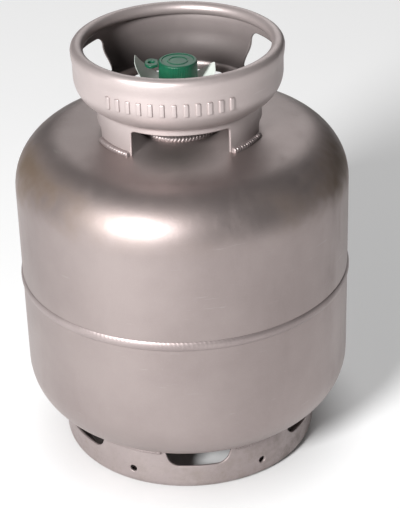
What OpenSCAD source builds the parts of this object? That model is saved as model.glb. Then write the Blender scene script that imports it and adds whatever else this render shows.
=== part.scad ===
// Steel household gas cylinder: two dished halves joined by a girth weld, a foot ring
// with vents, a collar on four legs with a rolled rim and hand-holds, and a
// self-closing screw-on valve under a plastic seal with a plastic safety label.
// Millimetres. +Z is up, -Y is the front. The origin is on the ground, under the axis.

/* [Vessel] */
// Outer diameter of the vessel
vessel_d = 360; // [300:1:440]
// Thickness of the vessel's sheet
vessel_t = 3; // [2:0.1:4]
// Straight length between the two dished ends
straight_h = 210; // [160:1:280]
// Height of the vessel's lowest point above the ground
ground_gap = 41; // [34:1:60]
// Crown radius of the dished ends
crown_r = 1200; // [700:10:2000]
// Knuckle radius of the dished ends
knuckle_r = 57; // [45:0.5:70]
// Length of the lower half's stepped edge inside the upper half
joggle_h = 12; // [6:0.5:20]
// Play between the stepped edge and the upper half
joggle_gap = 0.1; // [0.05:0.05:0.5]
// Gap between the two halves that the girth weld fills
root_gap = 3; // [1.5:0.5:5]

/* [Welds] */
// Width of the girth weld's cap
girth_w = 11; // [7:0.5:16]
// Height of the weld caps above the sheet
weld_h = 1.8; // [0.8:0.1:3]
// Leg of the fillet welds at the collar, foot ring and valve boss
fillet_leg = 5; // [3:0.5:8]
// Width of the upright seam welds
seam_w = 6; // [4:0.5:10]

/* [Foot ring] */
// Outer diameter of the foot ring
foot_d = 285; // [236:1:300]
// Thickness of the foot ring's sheet
foot_t = 3; // [2:0.1:4]
// Outer radius of the foot ring's turned-in bottom edge
foot_bend_r = 9; // [6:0.5:14]
// Width of the flat face that it stands on
foot_face_w = 13; // [8:0.5:24]
// Number of vents around the foot ring
vent_n = 6; // [3:1:8]
// Angle of the first vent from the front
vent_turn = 3; // [-30:1:30]
// Width of a vent at its bottom
vent_w = 61; // [36:1:68]
// Lean of a vent's sides from upright
vent_lean = 17; // [5:1:25]
// Height of a vent's bottom edge above the ground
vent_z = 31; // [26:0.5:36]
// Corner radius of a vent
vent_r = 7; // [3:0.5:9]
// Diameter of the drain holes
drain_d = 8; // [5:0.5:12]
// Height of the drain holes above the ground
drain_z = 20; // [16:0.5:24]
// Angle between a foot ring land's middle and its upright seam weld
foot_seam_turn = 9; // [7:0.5:11]

/* [Collar] */
// Outer diameter of the collar's band
band_d = 221; // [180:1:240]
// Outer diameter of the collar's neck
neck_d = 175; // [145:1:190]
// Thickness of the collar's sheet
collar_t = 3; // [2:0.1:4]
// Height of the rolled rim's centre above the vessel's top
rim_rise = 89; // [80:0.5:110]
// Outer diameter of the rolled rim's tube
rim_d = 14; // [10:0.5:18]
// Distance that the rolled rim stands out past the band
rim_out = 1.5; // [0:0.5:4]
// Height of the shoulder's top above the vessel's top
shoulder_rise = 62; // [56:0.5:70]
// Outer radius of the shoulder between the band and the neck
shoulder_r = 30; // [24:0.5:34]
// Radius of the bend between the shoulder and the neck
neck_bend_r = 5; // [3:0.5:8]
// Width of the gaps at the front and back
front_gap_w = 100; // [60:1:110]
// Height of the front and back gaps' top edge above the vessel's top
front_gap_rise = 25; // [16:0.5:28]
// Width of the gaps at the sides
side_gap_w = 56; // [30:1:60]
// Height of the side gaps' top edge above the vessel's top
side_gap_rise = 10; // [6:0.5:16]
// Corner radius of the gaps
gap_r = 4; // [2:0.5:5]
// Angle of the hand-holds from the front
hold_angle = 114; // [100:1:130]
// Width of a hand-hold
hold_w = 68; // [50:1:80]
// Height of a hand-hold
hold_h = 35; // [24:0.5:38]
// Height of a hand-hold's middle above the vessel's top
hold_rise = 54; // [50:0.5:58]
// Corner radius of a hand-hold
hold_r = 11; // [5:0.5:12]

/* [Valve boss] */
// Diameter of the valve boss
boss_d = 84; // [80:1:100]
// Height of the boss's top above the vessel's top
boss_rise = 12; // [9:0.5:18]
// Diameter of the boss's spigot in the upper half
spigot_d = 74; // [72:0.5:78]
// Depth of the spigot below the vessel's top
spigot_drop = 8; // [5:0.5:14]
// Play between the spigot and its hole
spigot_gap = 0.1; // [0.05:0.05:0.5]
// Distance of the fusible plug from the axis
plug_off = 28; // [27:0.5:30]
// Angle of the fusible plug from the front
plug_angle = 150; // [0:5:355]
// Diameter of the fusible plug's thread
plug_d = 12; // [8:0.5:12]
// Distance across the flats of the fusible plug's head
plug_hex = 14; // [12:0.5:15]
// Height of the fusible plug's head
plug_head_h = 7; // [4:0.5:9]
// Diameter of the fusible metal in the plug
core_d = 6; // [3:0.5:7]

/* [Valve] */
// Outer diameter of the valve's shank thread
shank_d = 26.8; // [24:0.1:30]
// Length of the valve's shank
shank_h = 24; // [18:0.5:30]
// Radial play drawn at the screwed joints
thread_gap = 0.05; // [0.02:0.01:0.2]
// Distance across the flats of the valve's hexagon
hex_w = 32; // [28:0.5:34]
// Height of the valve's hexagon
hex_h = 11; // [8:0.5:16]
// Diameter of the valve's barrel and its head
barrel_d = 31; // [25:0.1:38]
// Height of the barrel between the hexagon and the label's groove
barrel_h = 19; // [12:0.5:24]
// Depth of the groove that holds the label
groove_cut = 2.5; // [1.5:0.1:3.5]
// Height of the groove
groove_h = 6; // [5:0.5:8]
// Height of the valve's head above the groove
head_h = 22; // [20:0.5:26]
// Diameter of the outlet's thread
outlet_d = 16; // [12:0.5:19]
// Length of the outlet's thread
outlet_thread_h = 9.5; // [6:0.5:9.5]
// Depth of the outlet, from the valve's top to the web under the O-ring
outlet_h = 16; // [15.5:0.5:18]
// Diameter of the valve's inner chamber
chamber_d = 17; // [15:0.5:19]
// Diameter of the gas passage at the seat
passage_d = 9; // [7:0.5:11]
// Thickness of the web between the outlet and the chamber
seat_h = 5; // [3:0.5:7]
// Wire diameter of the outlet's O-ring
o_ring_d = 2.4; // [1.6:0.1:3]
// Inner diameter of the outlet's O-ring
o_ring_in_d = 9.6; // [8:0.1:10.4]

/* [Plunger] */
// Diameter of the plunger's stem
stem_d = 5; // [3.5:0.1:6]
// Height of the stem's tip above the seat's web
stem_tip = 6; // [3:0.5:9]
// Diameter of the plunger's head
plunger_d = 14; // [12:0.5:14.5]
// Thickness of the plunger's head
plunger_h = 3; // [2:0.5:4]
// Thickness of the rubber washer on the plunger's head
washer_h = 2.5; // [1.5:0.5:4]
// Play between the washer and the seat at rest
seat_gap = 0.05; // [0.02:0.01:0.2]
// Diameter of the plunger's lower guide rod
guide_d = 4; // [3:0.1:5]
// Radial play of the guide rod in the bush
guide_gap = 0.05; // [0.02:0.01:0.1]
// Travel of the plunger
plunger_travel = 3.5; // [2:0.5:5]
// Thickness of the bottom bush
bush_h = 5; // [4:0.5:8]
// Wire diameter of the valve spring
spring_wire = 1.2; // [0.8:0.1:1.6]
// Mean diameter of the valve spring
spring_d = 10; // [8.5:0.1:11.5]
// Number of turns of the valve spring
spring_turns = 8; // [5:1:10]

/* [Seal] */
// Wall thickness of the seal
seal_t = 1.6; // [1:0.1:2.4]
// Width of the slot between the seal's gripping sleeve and its outer skirt
seal_slot = 1.5; // [1:0.1:3]
// Play between the seal and the valve's head
seal_gap = 0.3; // [0.2:0.1:0.6]
// Distance from the groove's top up to the seal's lower edge
seal_rise = 1.5; // [1:0.5:3]
// Width of the tear tab
tab_w = 14; // [8:0.5:18]
// Length of the tear tab
tab_len = 14; // [8:0.5:15]
// Thickness of the tear tab
tab_t = 2; // [1.2:0.1:3]

/* [Label] */
// Length of the label along its curl, seen from above
label_len = 84; // [60:1:88]
// Width of the label
label_w = 50; // [40:1:60]
// Thickness of the label
label_t = 0.6; // [0.4:0.1:1]
// Radius of the label's curl
label_curl_r = 48; // [46:1:60]
// Corner radius of the label
label_corner_r = 16; // [6:1:20]
// Radial play between the label's hole and the groove
label_gap = 0.8; // [0.4:0.1:1.4]
// Offset of the label's middle from the valve, towards its left end
label_shift = 3; // [0:0.5:3]

/* [Hidden] */
// Fine and ordinary roundness, and that of the very large crown circles
$fn = 64;
round_fn = 144;
crown_fn = 1440;
// Past-the-edge length of cutting tools
over = 1;
// Small overlap of two bends that meet, so that they join
lap_angle = 0.3;
// Turns of the spring that lie flat at each end
end_turns = 0.8;

vessel_r = vessel_d / 2;
knuckle_c = vessel_r - knuckle_r;
crown_drop = sqrt(pow(crown_r - knuckle_r, 2) - pow(knuckle_c, 2));
head_depth = crown_r - crown_drop;
crown_tilt = asin(knuckle_c / (crown_r - knuckle_r));
z_low = ground_gap + head_depth;
z_high = z_low + straight_h;
z_top = z_high + head_depth;
z_seam = (z_low + z_high) / 2;

// Height of a dished end above its tangent line at a radius, and that face's true height
function end_height(r) = r < crown_r * sin(crown_tilt)
    ? head_depth - crown_r + sqrt(pow(crown_r, 2) - pow(r, 2))
    : sqrt(pow(knuckle_r, 2) - pow(r - knuckle_c, 2));
function low_z(r) = z_low - end_height(r);
function top_z(r) = z_high + end_height(r);

foot_r = foot_d / 2;
vent_top = low_z(foot_r) + over;

band_r = band_d / 2;
neck_r = neck_d / 2;
rim_r = rim_d / 2;
rim_c = band_r + rim_out - rim_r;
rim_z = z_top + rim_rise;
shoulder_z = z_top + shoulder_rise;
shoulder_turn = acos(max(0, 1 - (band_r - neck_r) / (shoulder_r + neck_bend_r)));
shoulder_flat = band_r - neck_r - shoulder_r - neck_bend_r;
neck_bend_z = shoulder_z - (shoulder_r + neck_bend_r) * sin(shoulder_turn);
band_top = rim_z - sqrt(pow(rim_r, 2) - pow(band_r - rim_c, 2));

boss_top = z_top + boss_rise;
plug_hex_r = plug_hex / 2 / cos(30);
plug_drop = boss_rise + spigot_drop;

hex_top = boss_top + hex_h;
groove_low = hex_top + barrel_h;
groove_top = groove_low + groove_h;
valve_top = groove_top + head_h;
shank_low = boss_top - shank_h;
web_top = valve_top - outlet_h;
web_low = web_top - seat_h;
hex_r = hex_w / 2 / cos(30);
groove_d = barrel_d - 2 * groove_cut;

washer_top = web_low - seat_gap;
plunger_top = washer_top - washer_h;
plunger_low = plunger_top - plunger_h;
bush_top = shank_low + bush_h;
spring_h = plunger_low - bush_top;
guide_low = shank_low - plunger_travel;

sleeve_r = barrel_d / 2 + seal_gap + seal_t;
seal_r = sleeve_r + seal_slot + seal_t;
seal_low = groove_top + seal_rise;
seal_top = valve_top + seal_gap + seal_t;
tab_root = seal_r + seal_gap;
tab_top = seal_top - seal_t;

// ---------- Shapes that several pieces share ----------

// Half outline of a dished end on its tangent line, set in by a wall's thickness
module end_half(inset) {
    intersection() {
        translate([0, head_depth - crown_r]) circle(crown_r - inset, $fn = crown_fn);
        polygon([[0, 0], [knuckle_c, 0],
            [knuckle_c + 2 * knuckle_r * sin(crown_tilt), 2 * knuckle_r * cos(crown_tilt)],
            [0, 2 * knuckle_r * cos(crown_tilt)]]);
    }
    intersection() {
        translate([knuckle_c, 0]) circle(knuckle_r - inset, $fn = round_fn);
        translate([knuckle_c, 0]) square(knuckle_r);
    }
}

// The whole vessel as one solid, set in by a wall's thickness
module vessel(inset = 0) {
    rotate_extrude($fn = round_fn) union() {
        translate([0, z_low]) square([vessel_r - inset, straight_h]);
        translate([0, z_high]) end_half(inset);
        translate([0, z_low]) mirror([0, 1]) end_half(inset);
    }
}

// Wedge-shaped part of a ring between two radii, from one angle to another
module ring_part(r_in, r_out, from, to) {
    far = 2 * r_out;
    intersection() {
        difference() {
            circle(r_out, $fn = round_fn);
            circle(r_in, $fn = round_fn);
        }
        polygon([[0, 0], far * [cos(from), sin(from)],
            far * [cos((from + to) / 2), sin((from + to) / 2)], far * [cos(to), sin(to)]]);
    }
}

// Collar sheet's outline between two distances from its outer face, from a height up
module collar_outline(inner, outer, low) {
    bend = [neck_r + neck_bend_r, neck_bend_z];
    translate([band_r + inner, shoulder_z]) square([outer - inner, band_top - shoulder_z]);
    translate([band_r - shoulder_r, shoulder_z])
        ring_part(shoulder_r + inner, shoulder_r + outer, -shoulder_turn - lap_angle, 0);
    if (shoulder_flat > 0) translate([neck_r + neck_bend_r, shoulder_z - shoulder_r - outer])
        square([shoulder_flat, outer - inner]);
    translate(bend)
        ring_part(neck_bend_r - outer, neck_bend_r - inner, 180 - shoulder_turn, 180 + lap_angle);
    translate([neck_r + inner, low]) square([outer - inner, neck_bend_z - low]);
}

// Upright opening with round top corners, standing on the line y = 0
module gap_shape(w, h, r) {
    translate([-w / 2, -over]) square([w, h + over - r]);
    translate([-w / 2 + r, 0]) square([w - 2 * r, h]);
    for (side = [-1, 1]) translate([side * (w / 2 - r), h - r]) circle(r);
}

// Rectangle with four round corners about its middle
module round_rect(w, h, r) {
    square([w, h - 2 * r], center = true);
    square([w - 2 * r, h], center = true);
    for (x = [-1, 1], y = [-1, 1]) translate([x * (w / 2 - r), y * (h / 2 - r)]) circle(r);
}

// Vent opening: leaning sides, round bottom corners, open at the top
module vent_shape(w, h, lean, r) {
    cut = r / tan((90 + lean) / 2);
    flat = w / 2 - cut;
    side = [w / 2 + cut * sin(lean), cut * cos(lean)];
    top = w / 2 + h * tan(lean);
    polygon([[-flat, 0], [flat, 0], side, [top, h], [-top, h], [-side[0], side[1]]]);
    for (s = [-1, 1]) translate([s * flat, r]) circle(r);
}

// Sends what is drawn in the XZ plane out through the wall at an angle from the front
module through_wall(angle, from, to) {
    rotate([0, 0, angle]) translate([0, -from, 0]) rotate([90, 0, 0])
        linear_extrude(to - from) children();
}

// Turns a radial half outline by a part of a circle about an angle from the front
module swept(angle, width) {
    rotate([0, 0, angle - 90 - width / 2]) rotate_extrude(angle = width, $fn = round_fn)
        children();
}

// ---------- Vessel ----------

module upper_shell() color("gainsboro") difference() {
    intersection() {
        vessel();
        translate([0, 0, z_seam + root_gap / 2]) cylinder(r = vessel_d, h = z_top);
    }
    vessel(vessel_t);
    translate([0, 0, z_top - spigot_drop])
        cylinder(d = spigot_d + 2 * spigot_gap, h = 2 * spigot_drop, $fn = round_fn);
}

module lower_shell() color("gainsboro") {
    inner_r = vessel_r - vessel_t;
    step_low = z_seam - root_gap / 2;
    difference() {
        intersection() {
            vessel();
            cylinder(r = vessel_d, h = step_low);
        }
        vessel(vessel_t);
    }
    rotate_extrude($fn = round_fn) polygon([
        [inner_r + vessel_t / 2, step_low - 3 * vessel_t],
        [inner_r + vessel_t / 2, step_low],
        [inner_r - joggle_gap, step_low],
        [inner_r - joggle_gap, step_low + root_gap + joggle_h],
        [inner_r - joggle_gap - vessel_t, step_low + root_gap + joggle_h],
        [inner_r - joggle_gap - vessel_t, step_low - vessel_t],
        [inner_r, step_low - 3 * vessel_t]]);
}

module girth_weld() color("silver") rotate_extrude($fn = round_fn) {
    cap_r = (pow(girth_w / 2, 2) + pow(weld_h, 2)) / (2 * weld_h);
    translate([vessel_r - vessel_t, z_seam - root_gap / 2])
        square([vessel_t, root_gap]);
    intersection() {
        translate([vessel_r + weld_h - cap_r, z_seam]) circle(cap_r, $fn = round_fn);
        translate([vessel_r, z_seam - girth_w]) square([weld_h * 2, 2 * girth_w]);
    }
}

// ---------- Foot ring ----------

module foot_ring() color("gainsboro") difference() {
    rotate_extrude($fn = round_fn) {
        translate([foot_r - foot_t, foot_bend_r])
            square([foot_t, low_z(foot_r) + vessel_t - foot_bend_r]);
        translate([foot_r - foot_bend_r, foot_bend_r])
            ring_part(foot_bend_r - foot_t, foot_bend_r, -90, 0);
        translate([foot_r - foot_bend_r - foot_face_w, 0]) square([foot_face_w, foot_t]);
    }
    vessel();
    for (i = [0 : vent_n - 1]) {
        turn = vent_turn + i * 360 / vent_n;
        translate([0, 0, vent_z]) through_wall(turn, foot_r / 2, foot_r + over)
            vent_shape(vent_w, vent_top - vent_z + over, vent_lean, vent_r);
        translate([0, 0, drain_z]) through_wall(turn + 180 / vent_n, foot_r / 2, foot_r + over)
            circle(d = drain_d);
    }
}

module foot_ring_welds() color("silver") {
    vent_top_w = vent_w + 2 * (low_z(foot_r) - vent_z) * tan(vent_lean);
    land = 360 / vent_n - 2 * asin(vent_top_w / 2 / foot_r) - 2;
    difference() {
        for (i = [0 : vent_n - 1]) swept(vent_turn + (i + 0.5) * 360 / vent_n, land)
            translate([foot_r, low_z(foot_r)]) circle(fillet_leg);
        vessel();
        cylinder(r = foot_r, h = z_low, $fn = round_fn);
    }
}

module foot_ring_seam_weld() color("silver") {
    seam_low = foot_bend_r;
    seam_high = low_z(foot_r) - fillet_leg;
    intersection() {
        translate([0, 0, seam_low]) difference() {
            cylinder(r = foot_r + weld_h, h = seam_high - seam_low, $fn = round_fn);
            translate([0, 0, -over])
                cylinder(r = foot_r, h = z_low, $fn = round_fn);
        }
        rotate([0, 0, vent_turn + 2.5 * 360 / vent_n + foot_seam_turn])
            translate([-seam_w / 2, -foot_d, 0]) cube([seam_w, foot_d, z_low]);
    }
}

// ---------- Collar ----------

module collar() color("gainsboro") difference() {
    rotate_extrude($fn = round_fn) {
        collar_outline(-collar_t, 0, top_z(neck_r) - collar_t);
        translate([rim_c, rim_z]) difference() {
            circle(rim_r);
            circle(rim_r - collar_t);
        }
    }
    vessel();
    for (turn = [0, 180]) translate([0, 0, z_top]) through_wall(turn, 0, neck_d)
        translate([0, -collar_t * 4]) gap_shape(front_gap_w, front_gap_rise + collar_t * 4, gap_r);
    for (turn = [90, 270]) translate([0, 0, z_top]) through_wall(turn, 0, neck_d)
        translate([0, -collar_t * 4]) gap_shape(side_gap_w, side_gap_rise + collar_t * 4, gap_r);
    for (turn = [hold_angle, -hold_angle])
        translate([0, 0, z_top + hold_rise]) through_wall(turn, 0, neck_d)
            round_rect(hold_w, hold_h, hold_r);
}

module collar_welds() color("silver") {
    from = asin(front_gap_w / 2 / neck_r) + 1;
    to = 90 - asin(side_gap_w / 2 / neck_r) - 1;
    middle = (from + to) / 2;
    difference() {
        for (turn = [middle, -middle, 180 - middle, 180 + middle]) swept(turn, to - from)
            translate([neck_r, top_z(neck_r)]) circle(fillet_leg);
        vessel();
        cylinder(r = neck_r, h = rim_z, $fn = round_fn);
    }
}

module collar_seam_weld() color("silver") intersection() {
    rotate_extrude($fn = round_fn)
        collar_outline(0, weld_h, z_top + front_gap_rise);
    translate([-seam_w / 2, 0, 0]) cube([seam_w, band_d, rim_z - rim_r]);
}

// ---------- Valve boss and plug ----------

module valve_flange() color("silver") difference() {
    union() {
        difference() {
            translate([0, 0, z_top - spigot_drop])
                cylinder(d = boss_d, h = boss_rise + spigot_drop, $fn = round_fn);
            vessel();
        }
        translate([0, 0, z_top - spigot_drop])
            cylinder(d = spigot_d, h = spigot_drop + over, $fn = round_fn);
    }
    translate([0, 0, z_top - spigot_drop - over])
        cylinder(d = shank_d + 2 * thread_gap, h = boss_rise + spigot_drop + 2 * over);
    rotate([0, 0, plug_angle]) translate([0, -plug_off, z_top - spigot_drop - over])
        cylinder(d = plug_d + 2 * thread_gap, h = boss_rise + spigot_drop + 2 * over);
}

// The crown is so flat beside the boss that the weld's foot is drawn straight
module flange_weld() color("silver") rotate_extrude($fn = round_fn) {
    boss_r = boss_d / 2;
    far_r = boss_r + 2 * fillet_leg;
    difference() {
        translate([boss_r, top_z(boss_r)]) circle(fillet_leg);
        translate([0, z_high]) square([boss_r, valve_top]);
        polygon([[0, z_high], [far_r, z_high], [far_r, top_z(far_r)], [boss_r, top_z(boss_r)],
            [0, top_z(boss_r)]]);
    }
}

module fusible_plug_body() color("goldenrod")
    rotate([0, 0, plug_angle]) translate([0, -plug_off, boss_top]) difference() {
        union() {
            cylinder(r = plug_hex_r, h = plug_head_h, $fn = 6);
            translate([0, 0, -plug_drop]) cylinder(d = plug_d, h = plug_drop + over);
        }
        translate([0, 0, -plug_drop - over])
            cylinder(d = core_d, h = plug_drop + plug_head_h + 2 * over);
    }

module fusible_plug_core() color("dimgray")
    rotate([0, 0, plug_angle]) translate([0, -plug_off, boss_top - plug_drop])
        cylinder(d = core_d, h = plug_drop + plug_head_h);

// ---------- Valve ----------

module valve_body() color("goldenrod") difference() {
    union() {
        translate([0, 0, shank_low]) cylinder(d = shank_d, h = shank_h + over);
        translate([0, 0, boss_top]) cylinder(r = hex_r, h = hex_h, $fn = 6);
        translate([0, 0, hex_top - over]) cylinder(d = barrel_d, h = barrel_h + over);
        translate([0, 0, groove_low - over])
            cylinder(d = groove_d, h = groove_h + 2 * over);
        translate([0, 0, groove_top]) cylinder(d = barrel_d, h = head_h);
    }
    translate([0, 0, valve_top - outlet_thread_h])
        cylinder(d = outlet_d, h = outlet_thread_h + over);
    translate([0, 0, web_top]) cylinder(d = o_ring_in_d + 2 * o_ring_d, h = outlet_h);
    translate([0, 0, web_low - over]) cylinder(d = passage_d, h = seat_h + 2 * over);
    translate([0, 0, shank_low - over]) cylinder(d = chamber_d, h = web_low - shank_low + over);
}

module valve_bottom_bush() color("goldenrod") difference() {
    hole_d = 3;
    translate([0, 0, shank_low]) cylinder(d = chamber_d - 2 * thread_gap, h = bush_h);
    translate([0, 0, shank_low - over])
        cylinder(d = guide_d + 2 * guide_gap, h = bush_h + 2 * over);
    for (turn = [0 : 90 : 270]) rotate([0, 0, turn])
        translate([(chamber_d + guide_d) / 4, 0, shank_low - over])
            cylinder(d = hole_d, h = bush_h + 2 * over);
}

module outlet_o_ring() color("#202020") rotate_extrude()
    translate([(o_ring_in_d + o_ring_d) / 2, web_top + o_ring_d / 2]) circle(d = o_ring_d);

// Share of the coil's rise that is reached after a number of turns
function lifted(turn) = max(0, min(1, (turn - end_turns) / (spring_turns - 2 * end_turns)));

// One closed coil swept along a helix, with flat end turns top and bottom
module valve_spring() color("silver") {
    sides = 8;
    steps = 16;
    wire_r = spring_wire / 2;
    mean_r = spring_d / 2;
    total = spring_turns * steps;
    pitch_h = spring_h - spring_wire;
    rings = [for (i = [0 : total], j = [0 : sides - 1])
        let (a = 360 * i / steps, b = 360 * j / sides)
        [(mean_r + wire_r * cos(b)) * cos(a), (mean_r + wire_r * cos(b)) * sin(a),
            bush_top + wire_r + pitch_h * lifted(i / steps) + wire_r * sin(b)]];
    faces = concat(
        [[for (j = [0 : sides - 1]) j]],
        [for (i = [0 : total - 1], j = [0 : sides - 1])
            [i * sides + j, (i + 1) * sides + j,
                (i + 1) * sides + (j + 1) % sides, i * sides + (j + 1) % sides]],
        [[for (j = [sides - 1 : -1 : 0]) total * sides + j]]);
    polyhedron(rings, faces);
}

module valve_plunger() color("goldenrod") {
    stem_top = web_top + stem_tip;
    translate([0, 0, plunger_low]) cylinder(d = plunger_d, h = plunger_h);
    translate([0, 0, plunger_top - over]) cylinder(d = stem_d, h = stem_top - plunger_top + over);
    translate([0, 0, guide_low]) cylinder(d = guide_d, h = plunger_low - guide_low + over);
}

module plunger_washer() color("#202020") difference() {
    translate([0, 0, plunger_top]) cylinder(d = plunger_d, h = washer_h);
    translate([0, 0, plunger_top - over]) cylinder(d = stem_d, h = washer_h + 2 * over);
}

// ---------- Seal and label ----------

module seal_cap() color("seagreen") difference() {
    translate([0, 0, seal_low]) cylinder(r = seal_r, h = seal_top - seal_low);
    translate([0, 0, seal_low - over])
        cylinder(r = sleeve_r - seal_t, h = seal_top - seal_t - seal_low + over);
    // Slot between the gripping sleeve and the outer skirt
    rotate_extrude() translate([sleeve_r, seal_low - over])
        square([seal_slot, seal_top - seal_low - 2 * seal_t + over]);
}

module tear_tab() color("seagreen") translate([-tab_root, 0, tab_top - tab_t]) difference() {
    union() {
        translate([-tab_len + tab_w / 2, -tab_w / 2, 0])
            cube([tab_len - tab_w / 2, tab_w, tab_t]);
        translate([-tab_len + tab_w / 2, 0, 0]) cylinder(d = tab_w, h = tab_t);
    }
    translate([-tab_len + tab_w / 2, 0, -over]) cylinder(d = tab_w / 2, h = tab_t + 2 * over);
}

module safety_label() color("whitesmoke") {
    low = groove_low + label_t;
    difference() {
        intersection() {
            translate([0, label_w, low + label_curl_r]) rotate([90, 0, 0])
                linear_extrude(2 * label_w) difference() {
                    circle(label_curl_r, $fn = round_fn);
                    circle(label_curl_r - label_t, $fn = round_fn);
                }
            translate([-label_shift, 0, low - over])
                linear_extrude(label_curl_r + over) round_rect(label_len, label_w, label_corner_r);
        }
        translate([0, 0, low - over])
            cylinder(d = groove_d + 2 * label_gap, h = label_curl_r);
    }
}

upper_shell();
lower_shell();
girth_weld();
collar();
collar_welds();
collar_seam_weld();
foot_ring();
foot_ring_welds();
foot_ring_seam_weld();
valve_flange();
flange_weld();
valve_body();
valve_bottom_bush();
outlet_o_ring();
valve_spring();
valve_plunger();
plunger_washer();
fusible_plug_body();
fusible_plug_core();
seal_cap();
tear_tab();
safety_label();
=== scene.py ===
# %% [markdown]
# # A steel gas cylinder, built as a set of pieces around a fixed frame
# The cylinder is two pressed steel halves, a foot ring, a collar with a rolled rim, and a
# small brass valve under a green plastic seal. Each piece here takes the place of a plain
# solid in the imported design. The design is loaded first, because it says where
# everything goes and which pieces move.

# %% Load the frame
import math

import bmesh
import bpy
import numpy as np
from mathutils import Euler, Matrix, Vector


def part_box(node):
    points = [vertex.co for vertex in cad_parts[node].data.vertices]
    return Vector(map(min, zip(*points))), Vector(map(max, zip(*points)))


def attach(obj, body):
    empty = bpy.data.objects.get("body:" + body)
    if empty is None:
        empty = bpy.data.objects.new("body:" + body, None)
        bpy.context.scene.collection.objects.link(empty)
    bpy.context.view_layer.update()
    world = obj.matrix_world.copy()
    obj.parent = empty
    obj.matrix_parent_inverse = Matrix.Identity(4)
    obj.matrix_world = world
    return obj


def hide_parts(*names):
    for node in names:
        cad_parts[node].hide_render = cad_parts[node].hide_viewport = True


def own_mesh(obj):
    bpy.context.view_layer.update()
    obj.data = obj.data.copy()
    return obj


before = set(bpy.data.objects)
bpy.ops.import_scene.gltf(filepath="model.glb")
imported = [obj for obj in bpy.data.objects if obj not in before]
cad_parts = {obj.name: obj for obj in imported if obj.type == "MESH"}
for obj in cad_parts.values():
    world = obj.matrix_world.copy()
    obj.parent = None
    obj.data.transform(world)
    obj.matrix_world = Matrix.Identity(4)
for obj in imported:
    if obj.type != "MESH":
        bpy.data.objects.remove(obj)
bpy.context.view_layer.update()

# %% [markdown]
# ## Sizes
# A workshop writes the few sizes that everything else follows from on one sheet. The
# outer ones are measured on the frame. The others are the press tool's: the dished ends
# have a flat crown that runs into a tight knuckle, so both radii are named.

# %% Sizes in metres
MM = 0.001
vessel_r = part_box("upper_shell")[1].x
sheet_t = 3 * MM
crown_r = 1200 * MM
knuckle_r = 57 * MM
knuckle_c = vessel_r - knuckle_r
head_depth = crown_r - math.sqrt((crown_r - knuckle_r) ** 2 - knuckle_c ** 2)
z_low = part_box("lower_shell")[0].z + head_depth
z_seam = sum(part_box("girth_weld")[i].z for i in (0, 1)) / 2
z_high = 2 * z_seam - z_low
z_top = z_high + head_depth
root_gap = 3 * MM
band_r = 110.5 * MM - sheet_t / 2
shoulder_z = z_top + 62 * MM
shoulder_c, shoulder_bend = 80.5 * MM, 28.5 * MM


def end_height(r):
    """Height of a dished end above its tangent line, at a radius."""
    if r < crown_r * knuckle_c / (crown_r - knuckle_r):
        return head_depth - crown_r + math.sqrt(crown_r ** 2 - r ** 2)
    return math.sqrt(max(0.0, knuckle_r ** 2 - (r - knuckle_c) ** 2))


print("tangent lines at", round(z_low * 1000, 1), "and", round(z_high * 1000, 1), "mm")

# %% [markdown]
# ## Writing sums as nodes
# Shader maths and geometry maths are both chains of Math nodes. Wiring them by hand hides
# the formula, so one small class stands for a node's output. A sum written on it, such
# as `1 - mask`, adds the Math node and gives back the new output. Colours go through Mix
# nodes, because a Math node turns a colour grey.

# %% Wires and nodes
class Wire:
    """One output of a node. Sums on it add Math nodes to the same tree."""

    def __init__(self, tree, node, output=0):
        self.tree, self.node = tree, node
        self.socket = node.outputs[output] if len(node.outputs) else None

    def __getitem__(self, output):
        return Wire(self.tree, self.node, output)

    def math(self, operation, *values):
        return put(self.tree, "ShaderNodeMath", {"operation": operation},
                   dict(enumerate(values)))

    def __add__(self, other): return self.math("ADD", self, other)
    def __radd__(self, other): return self.math("ADD", other, self)
    def __sub__(self, other): return self.math("SUBTRACT", self, other)
    def __rsub__(self, other): return self.math("SUBTRACT", other, self)
    def __mul__(self, other): return self.math("MULTIPLY", self, other)
    def __rmul__(self, other): return self.math("MULTIPLY", other, self)
    def __truediv__(self, other): return self.math("DIVIDE", self, other)
    def __rtruediv__(self, other): return self.math("DIVIDE", other, self)
    def __pow__(self, other): return self.math("POWER", self, other)

    def cos(self): return self.math("COSINE", self)
    def sin(self): return self.math("SINE", self)
    def floor(self): return self.math("FLOOR", self)
    def fraction(self): return self.math("FRACT", self)
    def size(self): return self.math("ABSOLUTE", self)
    def least(self, other): return self.math("MINIMUM", self, other)
    def most(self, other): return self.math("MAXIMUM", self, other)

    def between(self, low, high):
        """0 below low and 1 above high, with a smooth step between them."""
        return put(self.tree, "ShaderNodeMapRange", {"interpolation_type": "SMOOTHSTEP"},
                   {"Value": self, "From Min": low, "From Max": high})


def put(tree, kind, settings=None, sockets=None, output=0):
    """Adds a node, sets its settings and then its sockets, and gives its output."""
    node = tree.nodes.new(kind)
    for key, value in (settings or {}).items():
        if key == "stops":
            ramp = node.color_ramp.elements
            while len(ramp) < len(value):
                ramp.new(1.0)
            for stop, (place, shade) in zip(ramp, value):
                stop.position, stop.color = place, shade
        else:
            setattr(node, key, value)
    for key, value in (sockets or {}).items():
        if isinstance(value, Wire):
            tree.links.new(value.socket, node.inputs[key])
        else:
            node.inputs[key].default_value = value
    return Wire(tree, node, output)


print("wires ready")
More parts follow.
